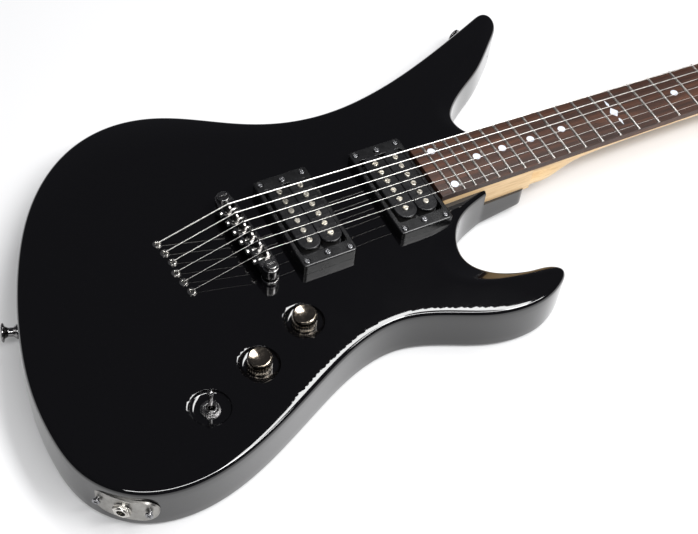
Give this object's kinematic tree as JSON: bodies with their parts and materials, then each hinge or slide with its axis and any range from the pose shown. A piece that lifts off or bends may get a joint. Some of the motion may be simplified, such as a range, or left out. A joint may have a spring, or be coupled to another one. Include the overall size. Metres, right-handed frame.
{
  "type": "electric guitar",
  "caption": "Solid-body electric guitar with a double-cutaway body, bolt-on neck, humbucking pickups, string-through bridge and geared tuners, lying on its back.",
  "frame": {"origin": "on the centre line under the nominal saddle line, on the plane of the body's flat back", "axes": "+X along the strings from the bridge to the headstock, +Y to the bass side, +Z out of the body's top"},
  "size_m": [1.0349, 0.341, 0.0638],
  "materials": {
    "black_lacquer": "gloss black lacquer over solid wood",
    "maple": "satin pale maple",
    "rosewood": "open-grained rosewood, oiled",
    "fret_nickel": "polished nickel silver",
    "pearl": "pearl",
    "black_nut": "graphite-filled plastic",
    "steel": "plain steel",
    "black_plastic": "satin black plastic",
    "black_chrome": "black chrome",
    "ring_plastic": "satin black plastic",
    "bobbin_plastic": "black plastic",
    "coil_tape": "black tape over copper wire",
    "pole_nickel": "nickel-plated steel",
    "magnet": "cast alnico",
    "nickel": "nickel plate",
    "black_screw": "black oxide",
    "string_steel": "plain and wound steel",
    "satin_nickel": "satin dark nickel",
    "knob_nickel": "dark nickel plate",
    "saddle_nickel": "dark nickel plate"
  },
  "bodies": {
    "instrument": {"body": "black_lacquer", "neck": "maple", "fretboard": "rosewood", "frets": "fret_nickel", "position_dots": "pearl", "twelfth_fret_inlay": "pearl", "nut": "black_nut", "truss_rod": "steel", "truss_rod_cover": "black_plastic", "neck_screw_cups": "black_chrome", "neck_screws": "black_chrome", "neck_pickup_ring": "ring_plastic", "bridge_pickup_ring": "ring_plastic", "neck_pickup_bobbins": "bobbin_plastic", "bridge_pickup_bobbins": "bobbin_plastic", "pickup_coils": "coil_tape", "pickup_pole_screws": "pole_nickel", "pickup_magnets": "magnet", "pickup_baseplates": "nickel", "pickup_springs": "steel", "pickup_height_screws": "black_screw", "bridge_base": "black_chrome", "bridge_posts": "black_chrome", "bridge_thumbwheels": "black_chrome", "bridge_bushings": "black_chrome", "saddle_screws": "steel", "string_ferrules": "nickel", "strings": "string_steel", "control_cover": "black_plastic", "pots": "nickel", "control_nuts": "black_chrome", "switch_body": "black_chrome", "output_jack": "nickel", "jack_plate": "satin_nickel", "strap_buttons": "black_chrome", "small_screws": "black_screw", "string_tree": "black_chrome", "tuner_housings": "black_chrome", "tuner_bushings": "black_chrome"},
    "volume_control": {"volume_knob": "knob_nickel"},
    "tone_control": {"tone_knob": "knob_nickel"},
    "pickup_selector": {"switch_lever": "black_chrome"},
    "saddle_block_6": {"saddle_6": "saddle_nickel"},
    "saddle_block_5": {"saddle_5": "saddle_nickel"},
    "saddle_block_4": {"saddle_4": "saddle_nickel"},
    "saddle_block_3": {"saddle_3": "saddle_nickel"},
    "saddle_block_2": {"saddle_2": "saddle_nickel"},
    "saddle_block_1": {"saddle_1": "saddle_nickel"},
    "tuner_drive_6": {"tuner_key_6": "black_chrome"},
    "tuner_capstan_6": {"tuner_post_6": "black_chrome"},
    "tuner_drive_5": {"tuner_key_5": "black_chrome"},
    "tuner_capstan_5": {"tuner_post_5": "black_chrome"},
    "tuner_drive_4": {"tuner_key_4": "black_chrome"},
    "tuner_capstan_4": {"tuner_post_4": "black_chrome"},
    "tuner_drive_3": {"tuner_key_3": "black_chrome"},
    "tuner_capstan_3": {"tuner_post_3": "black_chrome"},
    "tuner_drive_2": {"tuner_key_2": "black_chrome"},
    "tuner_capstan_2": {"tuner_post_2": "black_chrome"},
    "tuner_drive_1": {"tuner_key_1": "black_chrome"},
    "tuner_capstan_1": {"tuner_post_1": "black_chrome"}
  },
  "joints": [
    {"name": "volume_turn", "type": "hinge", "parent": "instrument", "child": "volume_control", "pos_m": [0.003, -0.083, 0.045], "axis": [0, 0, 1], "range_deg": [0, 270]},
    {"name": "tone_turn", "type": "hinge", "parent": "instrument", "child": "tone_control", "pos_m": [-0.043, -0.104, 0.045], "axis": [0, 0, 1], "range_deg": [0, 270]},
    {"name": "selector_swing", "type": "hinge", "parent": "instrument", "child": "pickup_selector", "pos_m": [-0.09, -0.1235, 0.039], "axis": [0, 1, 0], "range_deg": [-12, 12]},
    {"name": "saddle_6_slide", "type": "slide", "parent": "instrument", "child": "saddle_block_6", "axis": [0.9977, 0.0673, 0], "range_m": [-0.00061, 0.00519], "deforming": ["strings"]},
    {"name": "saddle_5_slide", "type": "slide", "parent": "instrument", "child": "saddle_block_5", "axis": [0.9977, 0.0673, 0], "range_m": [-0.00133, 0.00447], "deforming": ["strings"]},
    {"name": "saddle_4_slide", "type": "slide", "parent": "instrument", "child": "saddle_block_4", "axis": [0.9977, 0.0673, 0], "range_m": [-0.00204, 0.00376], "deforming": ["strings"]},
    {"name": "saddle_3_slide", "type": "slide", "parent": "instrument", "child": "saddle_block_3", "axis": [0.9977, 0.0673, 0], "range_m": [-0.00276, 0.00304], "deforming": ["strings"]},
    {"name": "saddle_2_slide", "type": "slide", "parent": "instrument", "child": "saddle_block_2", "axis": [0.9977, 0.0673, 0], "range_m": [-0.00348, 0.00232], "deforming": ["strings"]},
    {"name": "saddle_1_slide", "type": "slide", "parent": "instrument", "child": "saddle_block_1", "axis": [0.9977, 0.0673, 0], "range_m": [-0.00419, 0.00161], "deforming": ["strings"]},
    {"name": "tuner_key_6_turn", "type": "hinge", "parent": "instrument", "child": "tuner_drive_6", "pos_m": [0.68886, 0.01881, 0.0151], "axis": [0.2655, 0.9641, -0.0064], "continuous": true},
    {"name": "tuner_post_6_turn", "type": "hinge", "parent": "instrument", "child": "tuner_capstan_6", "pos_m": [0.68285, 0.0206, 0.03565], "axis": [0.0241, 0, 0.9997], "continuous": true},
    {"name": "tuner_key_5_turn", "type": "hinge", "parent": "instrument", "child": "tuner_drive_5", "pos_m": [0.71334, 0.01206, 0.01451], "axis": [0.2655, 0.9641, -0.0064], "continuous": true},
    {"name": "tuner_post_5_turn", "type": "hinge", "parent": "instrument", "child": "tuner_capstan_5", "pos_m": [0.70733, 0.01385, 0.03506], "axis": [0.0241, 0, 0.9997], "continuous": true},
    {"name": "tuner_key_4_turn", "type": "hinge", "parent": "instrument", "child": "tuner_drive_4", "pos_m": [0.73783, 0.00532, 0.01392], "axis": [0.2655, 0.9641, -0.0064], "continuous": true},
    {"name": "tuner_post_4_turn", "type": "hinge", "parent": "instrument", "child": "tuner_capstan_4", "pos_m": [0.73181, 0.00711, 0.03447], "axis": [0.0241, 0, 0.9997], "continuous": true},
    {"name": "tuner_key_3_turn", "type": "hinge", "parent": "instrument", "child": "tuner_drive_3", "pos_m": [0.76231, -0.00143, 0.01333], "axis": [0.2655, 0.9641, -0.0064], "continuous": true},
    {"name": "tuner_post_3_turn", "type": "hinge", "parent": "instrument", "child": "tuner_capstan_3", "pos_m": [0.75629, 0.00036, 0.03388], "axis": [0.0241, 0, 0.9997], "continuous": true},
    {"name": "tuner_key_2_turn", "type": "hinge", "parent": "instrument", "child": "tuner_drive_2", "pos_m": [0.78679, -0.00817, 0.01274], "axis": [0.2655, 0.9641, -0.0064], "continuous": true},
    {"name": "tuner_post_2_turn", "type": "hinge", "parent": "instrument", "child": "tuner_capstan_2", "pos_m": [0.78077, -0.00638, 0.03329], "axis": [0.0241, 0, 0.9997], "continuous": true},
    {"name": "tuner_key_1_turn", "type": "hinge", "parent": "instrument", "child": "tuner_drive_1", "pos_m": [0.81127, -0.01492, 0.01215], "axis": [0.2655, 0.9641, -0.0064], "continuous": true},
    {"name": "tuner_post_1_turn", "type": "hinge", "parent": "instrument", "child": "tuner_capstan_1", "pos_m": [0.80525, -0.01313, 0.0327], "axis": [0.0241, 0, 0.9997], "continuous": true}
  ],
  "couplings": [
    {"joint": "tuner_post_6_turn", "follows": "tuner_key_6_turn", "ratio": -0.0625},
    {"joint": "tuner_post_5_turn", "follows": "tuner_key_5_turn", "ratio": -0.0625},
    {"joint": "tuner_post_4_turn", "follows": "tuner_key_4_turn", "ratio": -0.0625},
    {"joint": "tuner_post_3_turn", "follows": "tuner_key_3_turn", "ratio": -0.0625},
    {"joint": "tuner_post_2_turn", "follows": "tuner_key_2_turn", "ratio": -0.0625},
    {"joint": "tuner_post_1_turn", "follows": "tuner_key_1_turn", "ratio": -0.0625}
  ]
}
